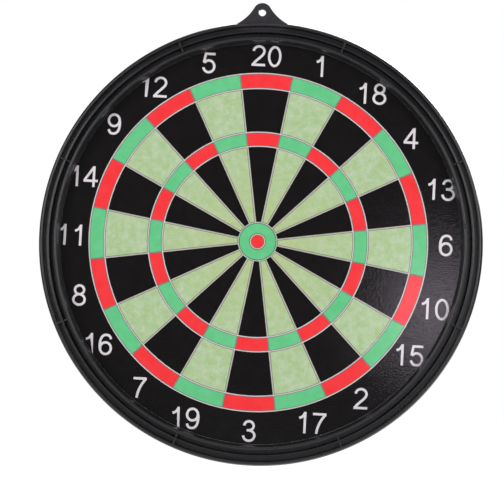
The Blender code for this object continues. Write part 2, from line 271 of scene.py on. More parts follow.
def ring_section():
    """The ring's closed section: up the lip's inner side, over the three crests and back underneath."""
    rib_half = MID_RIB_THICKNESS / 2
    corners = [
        (LIP_FOOT_RADIUS, FLANGE_Z, 0),
        (LIP_INNER_RADIUS, LIP_CREST_Z, 1.4 * MM),
        (LIP_OUTER_RADIUS, LIP_CREST_Z, 1.0 * MM),
        (LIP_OUTER_RADIUS + 2 * WALL_DRAFT, CHANNEL_FLOOR_Z, 0.6 * MM),
        (MID_RIB_RADIUS - rib_half - WALL_DRAFT, CHANNEL_FLOOR_Z, 0.6 * MM),
        (MID_RIB_RADIUS - rib_half, MID_RIB_Z, 0.35 * MM),
        (MID_RIB_RADIUS + rib_half, MID_RIB_Z, 0.35 * MM),
        (MID_RIB_RADIUS + rib_half + WALL_DRAFT, CHANNEL_FLOOR_Z, 1.0 * MM),
        (OUTER_CREST_INNER_RADIUS - WALL_DRAFT, CHANNEL_FLOOR_Z, 0.6 * MM),
        (OUTER_CREST_INNER_RADIUS, OUTER_CREST_Z, 0.5 * MM),
    ]
    shoulder_steps = 10
    for step in range(shoulder_steps + 1):
        turned = math.radians(90) * step / shoulder_steps
        radius = OUTER_CREST_OUTER_RADIUS + (BOARD_RADIUS - OUTER_CREST_OUTER_RADIUS) * math.sin(turned)
        corners.append((radius, SHOULDER_Z + (OUTER_CREST_Z - SHOULDER_Z) * math.cos(turned), 0))
    corners += [
        (BOARD_RADIUS, BACK_Z, 0.5 * MM),
        (WALL_INSIDE_RADIUS, BACK_Z, 0.3 * MM),
        (WALL_INSIDE_RADIUS, FLANGE_Z, 0),
        (SKIRT_OUTER_RADIUS, FLANGE_Z, 0),
        (SKIRT_OUTER_RADIUS, SKIRT_END_Z, 0),
        (SKIRT_INNER_RADIUS, SKIRT_END_Z, 0),
        (SKIRT_INNER_RADIUS, FLANGE_Z, 0),
    ]
    return rounded(corners)


def arc(centre, radius, start, end, steps):
    """Points of an arc, from one direction to another, in radians from +x."""
    turns = [start + (end - start) * i / steps for i in range(steps + 1)]
    return [centre + radius * Vector((math.cos(t), math.sin(t))) for t in turns]


def add_tab(shape):
    """The hanging tab: a round tip and hollow flanks that run out into the ring, its edges rounded."""
    tip = Vector((0, TAB_TIP_Y))
    base = Vector((TAB_HALF_BASE, math.sqrt(TAB_BASE_RADIUS**2 - TAB_HALF_BASE**2)))
    to_base = base - tip
    reach = TAB_TIP_RADIUS + TAB_FLANK_RADIUS
    along = (reach**2 - TAB_FLANK_RADIUS**2 + to_base.length_squared) / (2 * to_base.length)
    aside = math.sqrt(reach**2 - along**2)
    direction = to_base.normalized()
    flank = tip + along * direction + aside * Vector((-direction.y, direction.x))
    to_tip = tip - flank
    start = math.atan2(base.y - flank.y, base.x - flank.x) % math.tau
    touch = math.atan2(to_tip.y, to_tip.x) % math.tau
    right = arc(flank, TAB_FLANK_RADIUS, start, touch, 16)
    right += arc(tip, TAB_TIP_RADIUS, touch - math.pi, math.pi / 2, 14)[1:]
    left = [Vector((-point.x, point.y)) for point in reversed(right[:-1])]
    half_root = math.asin((TAB_HALF_BASE - MM) / TAB_ROOT_RADIUS)
    root = arc(Vector((0, 0)), TAB_ROOT_RADIUS, math.pi / 2 + half_root, math.pi / 2 - half_root, 16)
    outline = right + left + root
    faces = prism(shape, outline, TAB_BACK_Z, TAB_FRONT_Z)
    free = len(right) + len(left)
    edges = [edge for face in faces[3 : free + 1] for edge in face.edges if face_edge_is_flat(edge)]
    bmesh.ops.bevel(shape, geom=edges, offset=0.8 * MM, segments=3, profile=0.5, affect="EDGES")


def face_edge_is_flat(edge):
    """Whether an edge lies at one height, as those round a plate's front and back do."""
    return abs(edge.verts[0].co.z - edge.verts[1].co.z) < 1e-9


def make_ring_mesh():
    ring, ribs, inside, marks, tab = (bmesh.new() for _ in range(5))
    bores, hole, notches = (bmesh.new() for _ in range(3))
    turn(ring, ring_section(), closed=True)
    for angle in CROSS_RIBS_DEG:
        start, end = LIP_OUTER_RADIUS - REACH, OUTER_CREST_INNER_RADIUS + REACH
        low = CHANNEL_FLOOR_Z - REACH
        radial_bar(ribs, angle, start, end, CROSS_RIB_THICKNESS, low, CROSS_RIB_Z, 0.25 * MM)
        boss = [(0, SKIRT_END_Z), (BOSS_RADIUS, SKIRT_END_Z), (BOSS_RADIUS, BOSS_TOP_Z), (0, BOSS_TOP_Z)]
        turn(inside, boss, clock_place(angle, SCREW_CIRCLE), 24)
        bore = [(0, BACK_Z), (SCREW_CLEARANCE_RADIUS, BACK_Z)]
        bore += [(SCREW_CLEARANCE_RADIUS, BORE_END_Z), (0, BORE_END_Z)]
        turn(bores, bore, clock_place(angle, SCREW_CIRCLE), 24)
    for angle in GATE_MARKS_DEG:
        low, high = MID_RIB_Z - 2 * GATE_MARK_RADIUS, MID_RIB_Z + GATE_MARK_PROUD
        mark = [(0, low), (GATE_MARK_RADIUS, low), (GATE_MARK_RADIUS, high - 0.2 * MM)]
        mark += [(GATE_MARK_RADIUS - 0.2 * MM, high), (0, high)]
        turn(marks, mark, clock_place(angle, MID_RIB_RADIUS), 16)
    for angle in LIP_NOTCHES_DEG:
        outline = rounded(
            [
                (-NOTCH_WIDTH / 2, LIP_CREST_Z - NOTCH_DEPTH, 0.6 * MM),
                (NOTCH_WIDTH / 2, LIP_CREST_Z - NOTCH_DEPTH, 0.6 * MM),
                (NOTCH_WIDTH / 2 + 0.5 * MM, LIP_CREST_Z + MM, 0),
                (-NOTCH_WIDTH / 2 - 0.5 * MM, LIP_CREST_Z + MM, 0),
            ]
        )
        lying = clock_place(angle) @ Matrix.Rotation(math.radians(90), 4, "X")
        prism(notches, outline, -LIP_OUTER_RADIUS - 2 * MM, -LIP_FOOT_RADIUS + 2 * MM, lying)
    add_tab(tab)
    flare = 0.15 * MM
    drill = [(0, TAB_BACK_Z - flare), (HOLE_RADIUS + 2 * flare, TAB_BACK_Z - flare)]
    drill += [(HOLE_RADIUS, TAB_BACK_Z + flare), (HOLE_RADIUS, TAB_FRONT_Z - flare)]
    drill += [(HOLE_RADIUS + 2 * flare, TAB_FRONT_Z + flare), (0, TAB_FRONT_Z + flare)]
    turn(hole, drill, Matrix.Translation((0, HOLE_Y, 0)), 48)
    return combined(
        "front_ring",
        ring,
        ("UNION", ribs),
        ("UNION", inside),
        ("UNION", marks),
        ("UNION", tab),
        ("DIFFERENCE", bores),
        ("DIFFERENCE", hole),
        ("DIFFERENCE", notches),
    )


# Satin black ABS from a spark-eroded mould: a soft, slightly cool black that lights up along its rounded
# crests. The mould's grain is really about 0.2 mm; it is drawn at 0.7 mm so that it shows. Painted shade by
# height: the channel floors are painted darker as shade, the crests a paler shade, and the tab round its
# hole is given the palest.
SPARK_GRAIN_MM = 0.7
FLOW_MARK_MM = 28.0
CREST_PAINTED_LIGHT_SHARE = 0.35  # how far a crest goes from the channels' black to the paler shade
TAB_PALE_MM = (34.0, 42.0)  # the tab's palest shade fades out between these, y from the hole counted double

satin_abs, tree, shader, in_mm = new_finish("moulded_abs_satin_black", "#333337", 0.29, 1.5)
grain = add(tree, "TexNoise", {"Scale": 1 / SPARK_GRAIN_MM, "Detail": 3.0}, {"Vector": in_mm})
flow = add(tree, "TexNoise", {"Scale": 1 / FLOW_MARK_MM, "Detail": 4.0}, {"Vector": in_mm})
shade = add(tree, "ValToRGB", links={"Fac": flow.outputs["Fac"]})
shade.color_ramp.elements[0].position = 0.35
shade.color_ramp.elements[0].color = linear("#2F2D32")
shade.color_ramp.elements[1].position = 0.65
shade.color_ramp.elements[1].color = linear("#353338")
# Painted shade: the base colour darkens with depth, darkest on the channel floors and paler up on the
# crests.
height = add(tree, "SeparateXYZ", links={0: in_mm}).outputs["Z"]
painted_height_shade = add(
    tree,
    "MapRange",
    {"From Min": CHANNEL_FLOOR_Z / MM, "From Max": TAB_FRONT_Z / MM, "To Min": 0.0, "To Max": CREST_PAINTED_LIGHT_SHARE},
    {"Value": height},
).outputs["Result"]
flattened = add(tree, "VectorMath", {1: (1.0, 2.0, 0.0)}, {0: in_mm}, operation="MULTIPLY")
from_hole = {1: (0.0, 2 * HOLE_Y / MM, 0.0)}
reach = add(tree, "VectorMath", from_hole, {0: flattened.outputs[0]}, operation="DISTANCE")
# The tab round its hole keeps the paler shade in full.
tab_pale = add(
    tree,
    "MapRange",
    {"From Min": TAB_PALE_MM[0], "From Max": TAB_PALE_MM[1], "To Min": 1.0, "To Max": 0.0},
    {"Value": reach.outputs["Value"]},
).outputs["Result"]
painted_shade_and_tab = add(tree, "Math", links={0: painted_height_shade, 1: tab_pale}, operation="MAXIMUM")
# Painted shade: the channels' black, mixed towards the paler shade by height and on the tab, gives the base
# colour.
crests = add(
    tree,
    "Mix",
    {6: linear("#18181B")},
    {0: painted_shade_and_tab.outputs[0], 7: shade.outputs["Color"]},
    data_type="RGBA",
)
tree.links.new(crests.outputs[2], shader.inputs["Base Color"])
sheen = add(
    tree,
    "MapRange",
    {"From Min": 0.3, "From Max": 0.7, "To Min": 0.26, "To Max": 0.32},
    {"Value": flow.outputs["Fac"]},
)
tree.links.new(sheen.outputs["Result"], shader.inputs["Roughness"])
bump = add(tree, "Bump", {"Strength": 0.2, "Distance": 0.04 * MM}, {"Height": grain.outputs["Fac"]})
tree.links.new(bump.outputs["Normal"], shader.inputs["Normal"])

fit("front_ring", make_ring_mesh(), [satin_abs], ["front_frame"])


# Printed face ------------------------------------------------------------------------------------------
# A round of printed film under a clear laminate, laid on the steel sheet inside the lip: twenty sectors,
# a double and a treble ring and the bull, with silver-grey lines between. It was laid a little off the
# ring's centre and a little turned.

FILM_RADIUS = (film_high.x - film_low.x) / 2
FILM_BACK_Z = wall_y - film_high.y
PRINT_CENTRE = Vector((-1.99, 1.10)) * MM
PRINT_TURN_DEG = 2.35
SECTORS = 20
SECTOR_STEPS = 8

CIRCLE_WIDTH = 1.0 * MM
RAY_WIDTH = 1.15 * MM
EDGING_WIDTH = 0.5 * MM
SCORE_WIDTH = 0.5 * MM  # the thinner ray between two cells of the double or treble ring
SCORE_EDGING_WIDTH = 0.4 * MM
DOUBLE_OUTER_RADIUS = 162.0 * MM
DOUBLE_INNER_RADIUS = 147.3 * MM
TREBLE_OUTER_RADIUS = 105.2 * MM
TREBLE_INNER_RADIUS = 91.6 * MM
BULL_RED_RADIUS = 5.8 * MM
BULL_RING_RADII = (6.4 * MM, 7.4 * MM)
BULL_GREEN_RADII = (8.1 * MM, 17.2 * MM)
OUTER_RING_RADII = (17.9 * MM, 18.9 * MM)

FINISHES = ("black", "red", "green", "light", "circle", "ray", "cross", "edging", "score")
FINISHES += ("bull_ring", "outer_ring")


def sector_cells(inside, sector):
    """The finishes of a band across one sector: of its field, of its edging and of the line before it."""
    dark = sector % 2 == 0
    if inside == "single":
        return ("black", "black", "ray") if dark else ("light", "edging", "ray")
    return ("red", "edging", "score") if dark else ("green", "edging", "score")


def line_circle(radius, below, above):
    """Bands across one silver circle, each (outer radius, kind): edging below, the line, edging above."""
    half = CIRCLE_WIDTH / 2
    return [
        (radius - half - EDGING_WIDTH, below),
        (radius - half, "edge_" + below),
        (radius + half, "line"),
        (radius + half + EDGING_WIDTH, "edge_" + above),
    ]


bands = [
    (BULL_RED_RADIUS, "red"),
    (BULL_RING_RADII[0], "edging"),
    (BULL_RING_RADII[1], "bull_ring"),
    (BULL_GREEN_RADII[0], "edging"),
    (BULL_GREEN_RADII[1], "green"),
    (OUTER_RING_RADII[0], "edging"),
    (OUTER_RING_RADII[1], "outer_ring"),
    (OUTER_RING_RADII[1] + EDGING_WIDTH, "edge_single"),
    *line_circle(TREBLE_INNER_RADIUS, "single", "multiple"),
    *line_circle(TREBLE_OUTER_RADIUS, "multiple", "single"),
    *line_circle(DOUBLE_INNER_RADIUS, "single", "multiple"),
    *line_circle(DOUBLE_OUTER_RADIUS, "multiple", "outside"),
]


def circle_points(radius, half_line, edging):
    """Places round one circle of the print: at each ray its line's four edges, then steps to the next."""
    points = []
    for sector in range(SECTORS):
        ray = math.tau * (sector - 0.5) / SECTORS
        offsets = (-half_line - edging, -half_line, half_line, half_line + edging)
        turns = [ray + math.asin(offset / radius) for offset in offsets]
        span = math.tau / SECTORS - 2 * math.asin(offsets[3] / radius)
        turns += [turns[3] + span * step / SECTOR_STEPS for step in range(1, SECTOR_STEPS)]
        points += [Vector((math.sin(t), math.cos(t))) * radius for t in turns]
    return points


def cell_finish(kind, position):
    """The finish of the cell at a place round a band, position counting from the first ray's line."""
    sector, step = divmod(position, SECTOR_STEPS + 3)
    if kind in FINISHES:
        return kind
    if kind == "outside":
        return "black"
    if kind == "line":
        return "cross" if step == 1 else "circle"
    inside = kind.removeprefix("edge_")
    if inside == "outside":
        return "black"
    owner = (sector - 1) % SECTORS if step == 0 else sector
    field, edging, line = sector_cells(inside, owner)
    if step == 1:
        return line
    if step in (0, 2) or kind.startswith("edge_"):
        return edging
    return field


def make_film_mesh():
    """A closed disc whose front is cut into the print's cells, each cell with its own ink."""
    shape = bmesh.new()
    turned = Matrix.Rotation(-math.radians(PRINT_TURN_DEG), 2)
    count = SECTORS * (SECTOR_STEPS + 3)

    def face(corners, kind, position):
        made = shape.faces.new(corners)
        made.material_index = FINISHES.index(cell_finish(kind, position))

    hub = shape.verts.new((*PRINT_CENTRE, FACE_Z))
    inner = None
    for i, (radius, kind) in enumerate(bands):
        following = bands[i + 1][1] if i + 1 < len(bands) else "outside"
        narrow = "multiple" in kind + following and "single" not in kind + following
        half_line = (SCORE_WIDTH if narrow else RAY_WIDTH) / 2
        edging = SCORE_EDGING_WIDTH if narrow else EDGING_WIDTH
        if radius < OUTER_RING_RADII[1]:
            half_line = edging = radius / 50
        places = [PRINT_CENTRE + turned @ point for point in circle_points(radius, half_line, edging)]
        outer = [shape.verts.new((*place, FACE_Z)) for place in places]
        for position in range(count):
            after = (position + 1) % count
            corners = [hub] if inner is None else [inner[after], inner[position]]
            face([*corners, outer[position], outer[after]], kind, position)
        inner = outer
    rims = []
    for z in (FACE_Z, FILM_BACK_Z):
        sides = [Vector(vert.co[:2]).normalized() * FILM_RADIUS for vert in inner]
        rims.append([shape.verts.new((*side, z)) for side in sides])
    for position in range(count):
        after = (position + 1) % count
        face((inner[after], inner[position], rims[0][position], rims[0][after]), "outside", position)
        face((rims[0][after], rims[0][position], rims[1][position], rims[1][after]), "outside", position)
    shape.faces.new(rims[1])
    mesh = made_mesh("printed_face", shape)
    mesh.polygons.foreach_set("use_smooth", [False] * len(mesh.polygons))
    return mesh


# Printed and laminated film: flat ink under a clear plastic skin with a leathery wrinkle, which breaks up
# the soft grey glare where it faces a lamp. The wrinkles are about 1.7 mm high and twice as wide.
WRINKLE_MM = 1.7
WRINKLE_SWAY = 1.5  # how far the creases bend from straight cell walls
WRINKLE_DEPTH = 0.029 * MM
INK_CLOUD_MM = 9.0


def laminated(name, colour, other, cloud_mm=INK_CLOUD_MM):
    """Ink that wanders between two near shades, under the laminate."""
    finish, tree, shader, in_mm = new_finish(name, colour, 0.1, 1.5)
    blots = {"Scale": 1 / cloud_mm, "Detail": 5.0, "Roughness": 0.6}
    cloud = add(tree, "TexNoise", blots, {"Vector": in_mm})
    ink = add(tree, "ValToRGB", links={"Fac": cloud.outputs["Fac"]})
    ink.color_ramp.elements[0].position = 0.36
    ink.color_ramp.elements[0].color = linear(colour)
    ink.color_ramp.elements[1].position = 0.64
    ink.color_ramp.elements[1].color = linear(other)
    tree.links.new(ink.outputs["Color"], shader.inputs["Base Color"])
    wide = add(tree, "VectorMath", {1: (0.5, 1.0, 1.0)}, {0: in_mm}, operation="MULTIPLY").outputs[0]
    size = {"Scale": 1 / WRINKLE_MM}
    sway = add(tree, "TexNoise", size, {"Vector": wide}).outputs["Color"]
    bent = {1: (WRINKLE_SWAY,) * 3}
    swayed = add(tree, "VectorMath", bent, {0: sway, 2: wide}, operation="MULTIPLY_ADD")
    crease = add(tree, "TexVoronoi", size, {"Vector": swayed.outputs[0]}, feature="DISTANCE_TO_EDGE")
    pillow = add(tree, "MapRange", {"From Max": 0.3}, {"Value": crease.outputs["Distance"]})
    relief = {"Strength": 0.6, "Distance": WRINKLE_DEPTH}
    bump = add(tree, "Bump", relief, {"Height": pillow.outputs["Result"]})
    tree.links.new(bump.outputs["Normal"], shader.inputs["Normal"])
    return finish, tree, shader, in_mm, ink


inks = {
    "black": laminated("laminated_print_black", "#131112", "#171516")[0],
    "red": laminated("laminated_print_red", "#FA373C", "#FB4045")[0],
    "green": laminated("laminated_print_green", "#64C887", "#6DCE90")[0],
    "circle": laminated("laminated_print_silver", "#D0C8CA", "#D6CFD1")[0],
    "ray": laminated("laminated_print_silver_grey", "#BDB8B2", "#C4BFB9")[0],
    "cross": laminated("laminated_print_pale_silver", "#DAD4DC", "#E0DAE2")[0],
    "edging": laminated("laminated_print_dark_grey", "#5C5B59", "#676664")[0],
    "score": laminated("laminated_print_rose_grey", "#A09A9A", "#A8A2A2")[0],
    "bull_ring": laminated("laminated_print_beige", "#CFC3AE", "#D6CAB6")[0],
    "outer_ring": laminated("laminated_print_grey_green", "#A9BDAC", "#B1C4B3")[0],
}

# The pale green sectors are printed like veined paper: clouds 7 mm across with finer, greener veins, and
# a ground that yellows towards the bull.
CLOUD_MM = 7.0
VEIN_MM = 6.0
pale = laminated("laminated_print_veined_green", "#ABC792", "#C0D2B4", CLOUD_MM)
inks["light"], tree, shader, in_mm, ink = pale
centre = tuple(PRINT_CENTRE / MM) + (FACE_Z / MM,)
outward = add(tree, "VectorMath", {1: centre}, {0: in_mm}, operation="DISTANCE").outputs["Value"]
yellowing = add(
    tree,
    "MapRange",
    {"From Min": 15.0, "From Max": 95.0, "To Min": 0.75, "To Max": 0.0},
    {"Value": outward},
)
ground = add(
    tree,
    "Mix",
    {7: linear("#BCCB93")},
    {0: yellowing.outputs["Result"], 6: ink.outputs["Color"]},
    data_type="RGBA",
)
warp = add(tree, "TexNoise", {"Scale": 1 / VEIN_MM, "Detail": 5.0, "Roughness": 0.7}, {"Vector": in_mm})
ridge = add(tree, "Math", {1: 0.5}, {0: warp.outputs["Fac"]}, operation="SUBTRACT")
vein = add(tree, "Math", links={0: ridge.outputs[0]}, operation="ABSOLUTE")
strength = add(
    tree,
    "MapRange",
    {"From Min": 0.0, "From Max": 0.04, "To Min": 0.5, "To Max": 0.0},
    {"Value": vein.outputs[0]},
)
veined = add(
    tree,
    "Mix",
    {7: linear("#A6C47C")},
    {0: strength.outputs["Result"], 6: ground.outputs[2]},
    data_type="RGBA",
)
tree.links.new(veined.outputs[2], shader.inputs["Base Color"])

fit("printed_face", make_film_mesh(), [inks[name] for name in FINISHES], ["printed_film"])


# Numbers -----------------------------------------------------------------------------------------------
# White numbers round the edge of the print, upright with it, in a plain grotesque. They are screen-printed
# in opaque ink, and stand a few hundredths of a millimetre above the film.

# Each number and its clock angle on the print. They were set one by one, so few stand at the middle of a
# sector.
NUMBERS = {20: -0.2, 1: 16.7, 18: 34.5, 4: 53, 13: 71, 6: 88, 10: 107.8, 15: 123.8, 2: 143.5, 17: 160.4}
NUMBERS |= {3: 179.5, 19: 199.5, 7: 216, 16: 234.5, 8: 250.5, 11: 269.3, 14: 287.8, 9: 306.5}
NUMBERS |= {12: 323, 5: 341.8}
NUMBER_CIRCLE = 179.4 * MM
NUMBER_CIRCLE_DROP = 0.6 * MM  # how far that circle's middle lies below the bull
NUMBERS_OUT_MM = {4: -2, 13: 2, 2: -1, 3: 0.5, 19: 2, 7: -0.7, 16: 2, 8: -1, 12: 1.5}  # off the circle
INK_THICKNESS = 0.03 * MM
INK_SINK = 0.05 * MM
FIGURE_STROKE = 2.27
FIGURE_ADVANCE = 14.7
FIGURE_UNIT = 1.03 * MM
NUMBER_EDGE_RADIUS = FILM_RADIUS - 0.15 * MM


def bend(x, y, across, up, start, end):
    """Points of an elliptical arc, its angles in degrees from +x, a step about every ten."""
    steps = max(2, round(abs(end - start) / 10))
    turns = [math.radians(start + (end - start) * i / steps) for i in range(steps + 1)]
    return [Vector((x + across * math.cos(t), y + up * math.sin(t))) for t in turns]


def sweep(*points):
    """Points of a cubic curve from its two ends and the two handles between them."""
    flat = [Vector((*point, 0)) for point in points]
    return [Vector(point[:2]) for point in interpolate_bezier(*flat, 14)]


def line(*points):
    return [Vector(point) for point in points]


# Each figure is a set of pen strokes in figure units from its own middle.
six_back = sweep((4.75, 5.0), (4.3, 7.8), (2.7, 8.9), (0.5, 8.9))
six_back += sweep((0.5, 8.9), (-3.6, 8.9), (-5.4, 5.2), (-5.4, -0.9))[1:]
six_back += sweep((-5.4, -0.9), (-5.4, -2.2), (-5.2, -3.2), (-4.9, -4.3))[1:]
FIGURES = {
    "0": [bend(0, 0, 5.2, 8.85, 0, 360)],
    "1": [line((1.4, -9.65), (1.4, 9.9)), bend(-5.5, 9.3, 6.4, 5.3, -8, -76)],
    "2": [
        bend(-0.1, 4.35, 4.95, 4.55, 178, -8)
        + sweep((4.8, 3.6), (3.8, -0.6), (-2.6, -3.6), (-5.0, -8.0))[1:],
        line((-6.6, -8.5), (6.15, -8.5)),
    ],
    "3": [
        bend(-0.35, 4.8, 4.4, 4.15, 178, -82) + line((-2.2, 0.62)),
        bend(-0.1, -4.15, 5.15, 4.8, 96, -178),
    ],
    "4": [line((2.4, -9.65), (2.4, 9.8)), line((-7.1, -3.9), (6.3, -3.9)), line((-6.4, -3.7), (2.1, 9.0))],
    "5": [
        line((5.7, 8.4), (-4.2, 8.4)),
        line((-3.2, 8.4), (-4.75, 0.0)),
        bend(0.0, -3.35, 5.15, 5.55, 146, -168),
    ],
    "6": [six_back, bend(0.05, -3.5, 5.05, 5.4, 0, 360)],
    "7": [line((-6.2, 8.45), (6.2, 8.45)), sweep((5.3, 8.0), (1.4, 3.8), (-1.9, -3.4), (-2.4, -9.65))],
    "8": [bend(0, 4.9, 4.25, 4.05, 0, 360), bend(0, -4.05, 5.3, 4.85, 0, 360)],
    "9": [[-point for point in six_back], bend(-0.05, 3.5, 5.05, 5.4, 0, 360)],
}


def stroke_cells(points):
    """The four-cornered cells of a pen stroke along these points, with its ends cut square."""
    looped = (points[0] - points[-1]).length < 1e-6
    sides = []
    for i, point in enumerate(points):
        before = points[i - 1] if i else (points[-2] if looped else point)
        after = points[i + 1] if i + 1 < len(points) else (points[1] if looped else point)
        along = (after - before).normalized()
        aside = along.orthogonal() * FIGURE_STROKE / 2
        sides.append((point + aside, point - aside))
    if looped:
        sides[-1] = sides[0]
    return [(*sides[i], *sides[i + 1][::-1]) for i in range(len(points) - 1)]


def figure_face(figure):
    """One figure as flat points and triangles, its strokes made one where they cross."""
    cells = [cell for points in FIGURES[figure] for cell in stroke_cells(points)]
    corners = [corner for cell in cells for corner in cell]
    faces = [[4 * i, 4 * i + 1, 4 * i + 2, 4 * i + 3] for i in range(len(cells))]
    points, _, triangles, _, _, owners = delaunay_2d_cdt(corners, [], faces, 1, 1e-4)
    return points, [triangle for triangle, owner in zip(triangles, owners) if owner]


def ink_number(shape, number, clock_deg):
    """Add one number's closed ink to a bmesh, upright with the print and kept inside the film's edge."""
    turned = Matrix.Rotation(-math.radians(PRINT_TURN_DEG), 2)
    angle = math.radians(clock_deg)
    radius = NUMBER_CIRCLE + NUMBERS_OUT_MM.get(number, 0) * MM
    centre = Vector((math.sin(angle), math.cos(angle))) * radius - Vector((0, NUMBER_CIRCLE_DROP))
    figures = str(number)
    for i, figure in enumerate(figures):
        across = Vector((FIGURE_ADVANCE * (i - (len(figures) - 1) / 2), 0))
        points, triangles = figure_face(figure)
        places = [PRINT_CENTRE + turned @ (centre + (point + across) * FIGURE_UNIT) for point in points]
        places = [place * min(1.0, NUMBER_EDGE_RADIUS / place.length) for place in places]
        heights = (FACE_Z - INK_SINK, FACE_Z + INK_THICKNESS)
        sheets = [[shape.verts.new((*place, z)) for place in places] for z in heights]
        for triangle in triangles:
            shape.faces.new([sheets[1][corner] for corner in triangle])
            shape.faces.new([sheets[0][corner] for corner in reversed(triangle)])
        loose = [edge for edge in shape.edges if edge.is_boundary and edge.verts[0] in set(sheets[1])]
        for edge in loose:
            one, other = (sheets[1].index(vert) for vert in edge.verts)
            shape.faces.new((sheets[1][one], sheets[1][other], sheets[0][other], sheets[0][one]))
        bmesh.ops.delete(shape, geom=[vert for vert in shape.verts if not vert.link_faces], context="VERTS")


number_shape = bmesh.new()
for number, clock_deg in NUMBERS.items():
    ink_number(number_shape, number, clock_deg)
white_ink = laminated("screen_printed_white", "#E0DAE0", "#E6E0E5")[0]
fit("printed_numbers", made_mesh("printed_numbers", number_shape), [white_ink], [])


# Steel sheet and core board ----------------------------------------------------------------------------
# Behind the film lies the tinplate disc that the darts' magnets hold to, and behind that a fibreboard
# core that fills the ring. Both are cut flat discs, dropped in from the back.

# Cold-rolled tinplate: a bright grey metal with the fine long marks of the rolls, drawn 0.8 mm apart.
ROLL_MARK_MM = 0.8
tinplate, tree, shader, in_mm = new_finish("rolled_tinplate", "#C4C6C8", 0.34, metallic=1.0)
along_roll = add(tree, "VectorMath", {1: (1.0, 1.0, 0.02)}, {0: in_mm}, operation="MULTIPLY")
marks = add(tree, "TexNoise", {"Scale": 1 / ROLL_MARK_MM, "Detail": 3.0}, {"Vector": along_roll.outputs[0]})
rough = add(tree, "MapRange", {"To Min": 0.26, "To Max": 0.44}, {"Value": marks.outputs["Fac"]})
tree.links.new(rough.outputs["Result"], shader.inputs["Roughness"])
bump = add(tree, "Bump", {"Strength": 0.15, "Distance": 0.02 * MM}, {"Height": marks.outputs["Fac"]})
tree.links.new(bump.outputs["Normal"], shader.inputs["Normal"])
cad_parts["steel_sheet"].data.materials.clear()
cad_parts["steel_sheet"].data.materials.append(tinplate)

# Pressed fibreboard: brown fibres about 3 mm long, matted flat, with a dull felted surface.
FIBRE_MM = 3.0
fibreboard, tree, shader, in_mm = new_finish("pressed_fibreboard", "#8F7556", 0.9, 1.5)
felt = {"Scale": 1 / FIBRE_MM, "Detail": 8.0, "Roughness": 0.7, "Distortion": 1.5}
matted = add(tree, "TexNoise", felt, {"Vector": in_mm})
tone = add(tree, "ValToRGB", links={"Fac": matted.outputs["Fac"]})
tone.color_ramp.elements[0].position = 0.35
tone.color_ramp.elements[0].color = linear("#6E5539")
tone.color_ramp.elements[1].position = 0.7
tone.color_ramp.elements[1].color = linear("#AB9170")
tree.links.new(tone.outputs["Color"], shader.inputs["Base Color"])
bump = add(tree, "Bump", {"Strength": 0.6, "Distance": 0.2 * MM}, {"Height": matted.outputs["Fac"]})
tree.links.new(bump.outputs["Normal"], shader.inputs["Normal"])
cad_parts["core_board"].data.materials.clear()
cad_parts["core_board"].data.materials.append(fibreboard)


# Rear cover --------------------------------------------------------------------------------------------
# A second ABS moulding closes the back. Its field is set in from its edge band and stiffened by a hub,
# two rings and eight radial ribs. It is screwed to the ring through eight countersunk holes.

COVER_RADIUS = (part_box("rear_cover")[1].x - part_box("rear_cover")[0].x) / 2
BAND_FRONT_Z = BACK_Z + 2.0 * MM
BAND_INNER_RADIUS = 187.5 * MM
FIELD_Z = 2.8 * MM
FIELD_FRONT_Z = wall_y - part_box("rear_cover")[0].y
COVER_RINGS = (62.0 * MM, 126.0 * MM)
HUB_RADIUS = 15.0 * MM
COVER_RIB_WIDTH = 2.6 * MM
STEP_SLOPE = 0.5 * MM
COVER_FILLET = 0.22 * MM
SCREW_HEAD_RADIUS = 2.8 * MM
SINK_MOUTH_RADIUS = 3.4 * MM
PAD_CIRCLE = 197.5 * MM
PAD_RADIUS = 8.0 * MM
PAD_SEAT_RADIUS = 8.3 * MM
PAD_SEAT_Z = BACK_Z + 0.5 * MM
PADS_DEG = [45 + 90 * i for i in range(4)]


def cover_section():
    """The cover's open section: out along its front side, round its edge and back to the axis."""
    corners = [(0, FIELD_FRONT_Z, 0), (BAND_INNER_RADIUS, FIELD_FRONT_Z, 0)]
    corners += [(BAND_INNER_RADIUS + STEP_SLOPE, BAND_FRONT_Z, 0), (COVER_RADIUS, BAND_FRONT_Z, 0)]
    corners += [(COVER_RADIUS, BACK_Z, 0.5 * MM), (BAND_INNER_RADIUS, BACK_Z, COVER_FILLET)]
    corners.append((BAND_INNER_RADIUS - STEP_SLOPE, FIELD_Z, COVER_FILLET))
    half = COVER_RIB_WIDTH / 2
    for ring in reversed(COVER_RINGS):
        corners += [(ring + half + STEP_SLOPE, FIELD_Z, COVER_FILLET), (ring + half, BACK_Z, COVER_FILLET)]
        corners += [(ring - half, BACK_Z, COVER_FILLET), (ring - half - STEP_SLOPE, FIELD_Z, COVER_FILLET)]
    corners += [(HUB_RADIUS + STEP_SLOPE, FIELD_Z, COVER_FILLET), (HUB_RADIUS, BACK_Z, COVER_FILLET)]
    corners.append((0, BACK_Z, 0))
    return rounded(corners)


